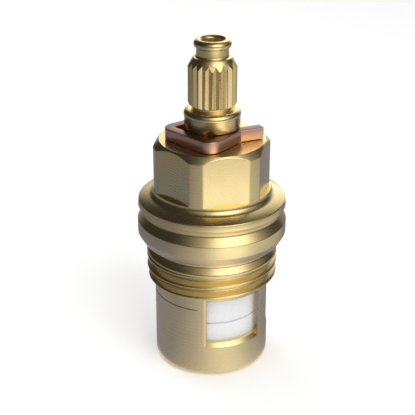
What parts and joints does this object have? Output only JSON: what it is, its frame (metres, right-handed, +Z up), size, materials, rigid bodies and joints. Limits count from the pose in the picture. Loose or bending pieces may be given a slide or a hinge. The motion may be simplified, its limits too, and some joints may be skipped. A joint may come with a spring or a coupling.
{
  "type": "ceramic disc tap cartridge",
  "caption": "Brass tap cartridge with a splined spindle, hexagon, flange, male thread and a windowed sleeve over two ceramic discs.",
  "frame": {"origin": "on the spindle's axis at the underside of the base seal", "axes": "+Z up along the spindle towards the handle; -Y faces a flat of the hexagon and the first window"},
  "size_m": [0.0237, 0.0236, 0.0535],
  "materials": {
    "turned_brass": "bright turned",
    "alumina_ceramic": "satin, lapped faces",
    "nitrile_rubber": "matt",
    "acetal": "satin",
    "phosphor_bronze": "bright strip"
  },
  "bodies": {
    "headwork": {"headwork_body": "turned_brass", "disc_sleeve": "turned_brass", "fixed_disc": "alumina_ceramic", "base_seal": "nitrile_rubber", "seal_support_ring": "acetal", "thrust_washer": "acetal"},
    "turning_spindle": {"spindle": "turned_brass", "moving_disc": "alumina_ceramic", "spindle_oring_lower": "nitrile_rubber", "spindle_oring_upper": "nitrile_rubber", "retaining_clip": "phosphor_bronze"}
  },
  "joints": [
    {"name": "spindle_turn", "type": "hinge", "parent": "headwork", "child": "turning_spindle", "pos_m": [0, 0, 0.03], "axis": [0, 0, 1], "range_deg": [0, 180]}
  ]
}
